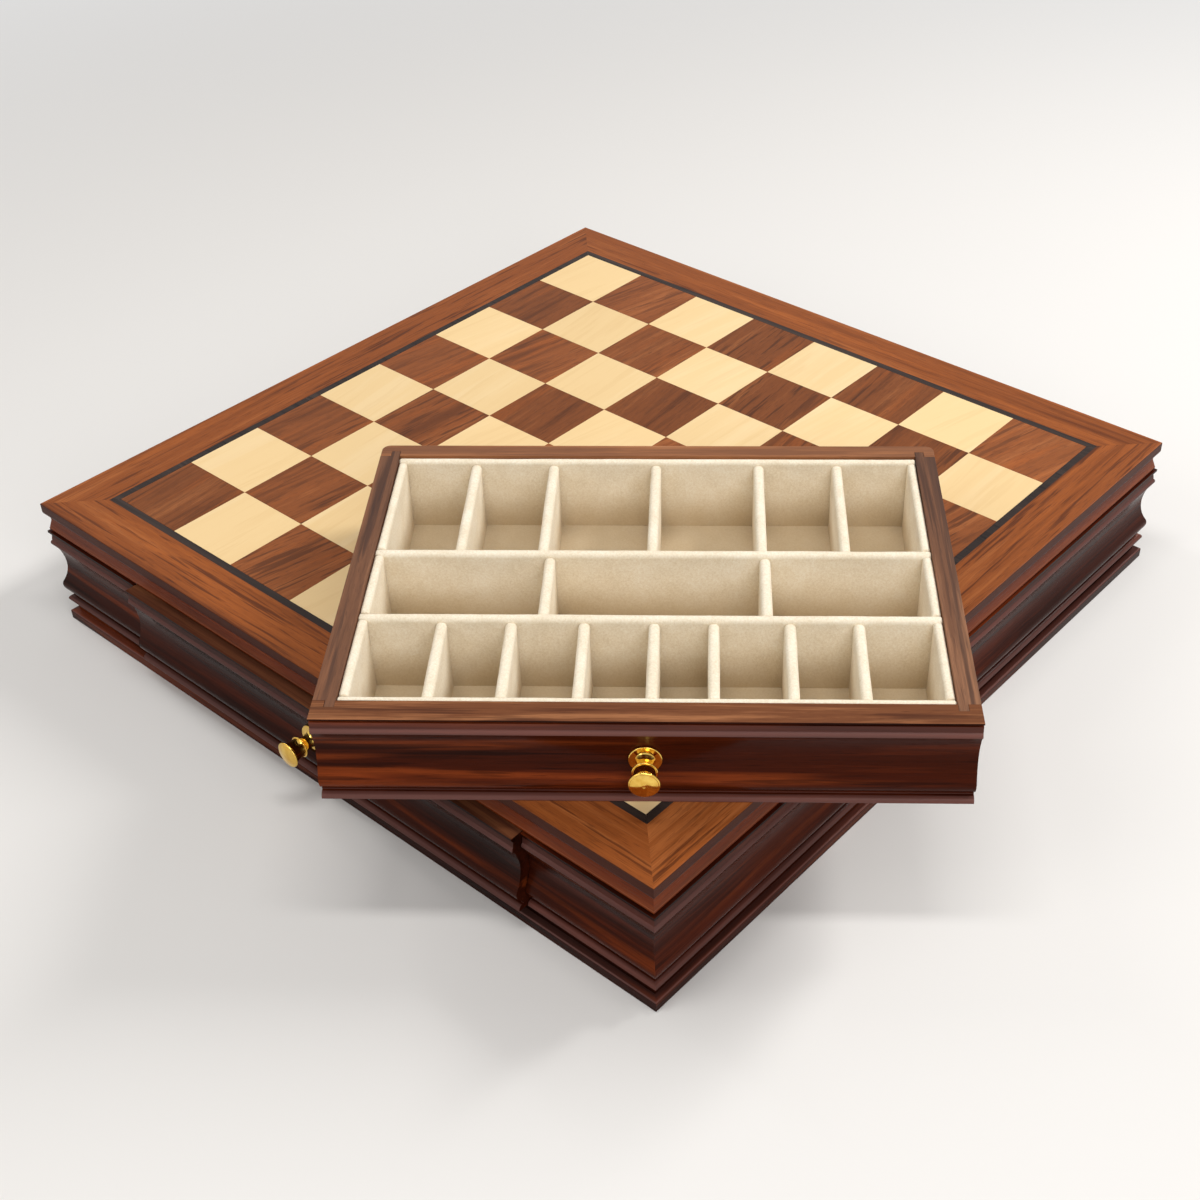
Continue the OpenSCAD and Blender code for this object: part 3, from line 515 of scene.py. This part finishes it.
# A board's round top in shares of its thickness, and how far its ends are pulled in at their last two rings
ROUND_TOP = 0.42
ROUND_STEPS = 6
END_PULLS = {0: 0.0007, 1: 0.00025}
BOARD_SOFT = 0.0009
FOOT_SOFT = 0.0004
# The card's soft rim, how far it drops there, and its flatter wave
CARD_STEP = 0.008
CARD_SOFT = 0.0006
CARD_DROP = 0.0003
CARD_WAVE = 0.0001


def solids(node):
    """Lowest and highest corner of each separate solid in a CAD node, in the order of their places."""
    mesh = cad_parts[node].data
    keys = [tuple(round(c, 5) for c in v.co) for v in mesh.vertices]
    owner = {k: k for k in keys}

    def root(k):
        while owner[k] != k:
            owner[k] = owner[owner[k]]
            k = owner[k]
        return k

    for face in mesh.polygons:
        first = root(keys[face.vertices[0]])
        for v in face.vertices[1:]:
            owner[root(keys[v])] = first
    groups = {}
    for k in owner:
        groups.setdefault(root(k), []).append(k)
    boxes = []
    for points in groups.values():
        low = Vector(min(p[i] for p in points) for i in range(3))
        high = Vector(max(p[i] for p in points) for i in range(3))
        boxes.append((low, high))
    return sorted(boxes, key=lambda b: (round(b[0].y, 4), round(b[0].x, 4)))


def steps(low, high, step, soft):
    """Places from low to high, close together at both soft ends."""
    count = max(2, round((high - low - 2 * soft) / step))
    middle = [low + soft + (high - low - 2 * soft) * k / count for k in range(count + 1)]
    return [low, low + soft * 0.3] + middle + [high - soft * 0.3, high]


def board_section(thick, tall):
    """Outline of a felt-covered board from its foot over its round top, with outward directions."""
    top = thick * ROUND_TOP
    rises = steps(0, tall - top, FELT_STEP, FOOT_SOFT)
    half = thick / 2
    left = [((-half, z), (-1, 0)) for z in rises]
    arc = []
    for k in range(1, ROUND_STEPS):
        angle = math.pi / 2 * k / ROUND_STEPS
        arc.append(((-half + top * (1 - math.cos(angle)), tall - top + top * math.sin(angle)),
                    (-math.cos(angle), math.sin(angle))))
    left += arc
    right = [((-y, z), (-ny, nz)) for (y, z), (ny, nz) in reversed(left)]
    return left + [((0, tall), (0, 1))] + right


def ruffle(point, away, seed, wave=FELT_WAVE):
    """Moves a point in or out a little, as hand-glued felt does."""
    p = Vector(point)
    s = Vector((seed, seed * 0.7, seed * 1.3))
    amount = wave * noise.noise(p * WAVE_SCALE + s) + FELT_NAP * noise.noise(p * NAP_SCALE + s)
    return p + Vector(away) * amount


def felt_board(low, high, seed):
    """Vertices and faces of one upright felt-covered board, in its box."""
    size = high - low
    along = 0 if size.x > size.y else 1
    thick = size[1 - along]
    section = board_section(thick, size.z)
    middle = (low[1 - along] + high[1 - along]) / 2
    places = steps(low[along], high[along], FELT_STEP, BOARD_SOFT)
    points = []
    for k, u in enumerate(places):
        end = min(k, len(places) - 1 - k)
        pull = END_PULLS.get(end, 0.0)
        for (v, w), (nv, nw) in section:
            inward = 1 - 2 * pull / thick
            corner = [0, 0, low.z + w - pull * max(nw, 0)]
            corner[along] = u
            corner[1 - along] = middle + v * inward
            away = [0, 0, nw]
            away[1 - along] = nv
            points.append(ruffle(corner, away, seed))
    ring = len(section)
    faces = []
    for k in range(len(places) - 1):
        for j in range(ring):
            a, b = k * ring + j, k * ring + (j + 1) % ring
            faces.append((a, b, b + ring, a + ring))
    for start, flip in ((0, True), ((len(places) - 1) * ring, False)):
        for j in range(ring // 2):
            quad = [start + j, start + j + 1, start + ring - 2 - j, start + ring - 1 - j]
            quad = list(dict.fromkeys(quad))
            faces.append(tuple(reversed(quad)) if flip else tuple(quad))
    if along == 0:
        faces = [tuple(reversed(f)) for f in faces]
    return points, faces


def felt_card(low, high, seed):
    """Vertices and faces of the felt-covered card on a drawer's bottom."""
    xs = steps(low.x, high.x, CARD_STEP, CARD_SOFT)
    ys = steps(low.y, high.y, CARD_STEP, CARD_SOFT)
    points, faces = [], []
    for z, sign in ((low.z, 0), (high.z, 1)):
        for y in ys:
            for x in xs:
                rim = min(x - low.x, high.x - x, y - low.y, high.y - y)
                drop = CARD_DROP * max(0, 1 - rim / CARD_SOFT) if sign else 0
                points.append(ruffle((x, y, z - drop), (0, 0, -sign), seed, CARD_WAVE))
    nx, ny = len(xs), len(ys)
    for j in range(ny - 1):
        for i in range(nx - 1):
            a = j * nx + i
            faces.append((a, a + nx, a + nx + 1, a + 1))
            b = a + nx * ny
            faces.append((b, b + 1, b + nx + 1, b + nx))
    top = nx * ny
    for i in range(nx - 1):
        faces.append((i, i + 1, top + i + 1, top + i))
        e = (ny - 1) * nx + i
        faces.append((e + 1, e, top + e, top + e + 1))
    for j in range(ny - 1):
        a, b = j * nx, (j + 1) * nx
        faces.append((b, a, top + a, top + b))
        faces.append((a + nx - 1, b + nx - 1, top + b + nx - 1, top + a + nx - 1))
    return points, faces


def felt_piece(drawer, part, seed):
    """One object that stands for a CAD felt node of a drawer."""
    to_local = DRAWERS["front_drawer"].inverted()
    points, faces = [], []
    for k, (low, high) in enumerate(solids(f"front_drawer_{part}")):
        low, high = to_local @ low, to_local @ high
        make = felt_card if part == "floor_felt" else felt_board
        more_points, more_faces = make(low, high, seed + 3.1 * k)
        faces += [tuple(v + len(points) for v in face) for face in more_faces]
        points += more_points
    mesh = bpy.data.meshes.new(f"{drawer}_{part}_felt")
    mesh.from_pydata([DRAWERS[drawer] @ p for p in points], [], faces)
    mesh.materials.append(FELT[drawer])
    mesh.polygons.foreach_set("use_smooth", [True] * len(mesh.polygons))
    piece = bpy.data.objects.new(f"{drawer}_{part}_felt", mesh)
    bpy.context.scene.collection.objects.link(piece)
    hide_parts(f"{drawer}_{part}")
    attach(piece, drawer)


# ---- Stage ----

BACKGROUND = (0.90, 0.90, 0.90, 1)
BACKGROUND_STRENGTH = 0.9
# The floor runs into the background between these distances from the middle
FLOOR_NEAR = 0.6
FLOOR_FAR = 2.0
FLOOR_HALF = 6.0
FLOOR_THROWN = (0.24, 0.23, 0.22, 1)
FLOOR_SHOWN = (0.84, 0.83, 0.82, 1)
DAYLIGHT = (1.0, 0.98, 0.95)
FILL_LIGHT = (1.0, 0.98, 0.96)
WARM_LIGHT = (1.0, 0.97, 0.94)
WORLD_STRENGTH = 0.22


def shows(tree):
    """1 for the rays that see a thing directly, in metal or through glass, and 0 for the light it sends."""
    path = tree.nodes.new("ShaderNodeLightPath")
    either = None
    for ray in ("Is Camera Ray", "Is Glossy Ray", "Is Transmission Ray"):
        if either is None:
            either = path.outputs[ray]
            continue
        most = tree.nodes.new("ShaderNodeMath")
        most.operation = "MAXIMUM"
        tree.links.new(either, most.inputs[0])
        tree.links.new(path.outputs[ray], most.inputs[1])
        either = most.outputs[0]
    return either


def add_floor():
    """A large pale floor, which throws little light back up and runs into the background far away."""
    mesh = bpy.data.meshes.new("floor")
    corners = [(x * FLOOR_HALF, y * FLOOR_HALF, 0) for x, y in ((-1, -1), (1, -1), (1, 1), (-1, 1))]
    mesh.from_pydata(corners, [], [(0, 1, 2, 3)])
    floor = bpy.data.objects.new("floor", mesh)
    bpy.context.scene.collection.objects.link(floor)
    f = Finish("floor", Roughness=0.75, Specular_IOR_Level=0.2)
    shown = shows(f.tree)
    f.feed(f.mix(shown, FLOOR_THROWN, FLOOR_SHOWN), "Base Color")
    away = f.add("VectorMath", out=1, settings={"operation": "LENGTH"}, i0=f.add("TexCoord", out="Object"))
    far = f.math("MULTIPLY", shown, f.spread(away, FLOOR_NEAR, FLOOR_FAR))
    mixed = f.tree.nodes.new("ShaderNodeMixShader")
    f.tree.links.new(far, mixed.inputs[0])
    f.tree.links.new(f.shader.outputs[0], mixed.inputs[1])
    f.tree.links.new(f.add("Emission", Color=BACKGROUND, Strength=BACKGROUND_STRENGTH), mixed.inputs[2])
    f.tree.links.new(mixed.outputs[0], f.tree.nodes["Material Output"].inputs["Surface"])
    mesh.materials.append(f.material)


def area_light(name, place, size, power, colour, along=0.0, target=(0, 0, 0.05)):
    """A soft lamp that points at the target, with its first side along a level direction."""
    light = bpy.data.lights.new(name, "AREA")
    light.shape = "RECTANGLE"
    light.size, light.size_y = size
    light.energy = power
    light.color = colour
    obj = bpy.data.objects.new(name, light)
    bpy.context.scene.collection.objects.link(obj)
    back = (Vector(place) - Vector(target)).normalized()
    up = back.cross(Vector((math.cos(along), math.sin(along), 0))).normalized()
    obj.matrix_world = Matrix.Translation(place) @ Matrix((up.cross(back), up, back)).transposed().to_4x4()


def add_world():
    """Soft grey light all round, and a pale background."""
    world = bpy.data.worlds.new("studio")
    bpy.context.scene.world = world
    world.use_nodes = True
    tree = world.node_tree
    tree.nodes.clear()
    light = tree.nodes.new("ShaderNodeBackground")
    light.inputs[0].default_value = (*DAYLIGHT, 1)
    light.inputs[1].default_value = WORLD_STRENGTH
    shown = tree.nodes.new("ShaderNodeBackground")
    shown.inputs[0].default_value = BACKGROUND
    shown.inputs[1].default_value = BACKGROUND_STRENGTH
    mixed = tree.nodes.new("ShaderNodeMixShader")
    out = tree.nodes.new("ShaderNodeOutputWorld")
    tree.links.new(shows(tree), mixed.inputs[0])
    tree.links.new(light.outputs[0], mixed.inputs[1])
    tree.links.new(shown.outputs[0], mixed.inputs[2])
    tree.links.new(mixed.outputs[0], out.inputs[0])


def add_camera():
    camera = bpy.data.cameras.new("camera")
    camera.sensor_width = 36
    camera.lens = 51.784
    camera.shift_x = -0.0435
    camera.shift_y = -0.0116
    obj = bpy.data.objects.new("camera", camera)
    bpy.context.scene.collection.objects.link(obj)
    obj.location = (0.63236, -0.68158, 0.70481)
    obj.rotation_euler = [math.radians(a) for a in (52.804, 0.850, 40.646)]
    bpy.context.scene.camera = obj


FELT = {drawer: felt_finish(f"{drawer}_felt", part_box(f"{drawer}_back_liner")[0].z) for drawer in DRAWERS}
BRASS = brass_finish()
STEEL = steel_finish()
dress_case()
dress_drawer("front_drawer", 0.0, 60)
dress_drawer("loose_drawer", LOOSE_TURN, 70)
for drawer_number, drawer_name in enumerate(DRAWERS):
    for part_number, felt_part in enumerate(FELT_PARTS):
        felt_piece(drawer_name, felt_part, 10.0 * drawer_number + part_number)

add_floor()
add_world()
area_light("window", (0.77, 1.45, 1.5), (1.2, 0.3), 28, DAYLIGHT, math.pi / 2)
area_light("overhead", (0.3, -0.35, 2.1), (1.2, 0.2), 11.5, DAYLIGHT, LOOSE_TURN, (0.1, -0.1, 0.05))
area_light("left_window", (-1.4, -0.2, 1.6), (1.4, 0.2), 5, FILL_LIGHT)
area_light("right_fill", (1.6, -1.0, 1.2), (1.0, 1.0), 13, FILL_LIGHT, math.pi / 2)
area_light("left_fill", (-0.5, -1.8, 1.5), (1.2, 1.2), 8.6, WARM_LIGHT)
add_camera()
bpy.context.scene.view_settings.view_transform = "Standard"
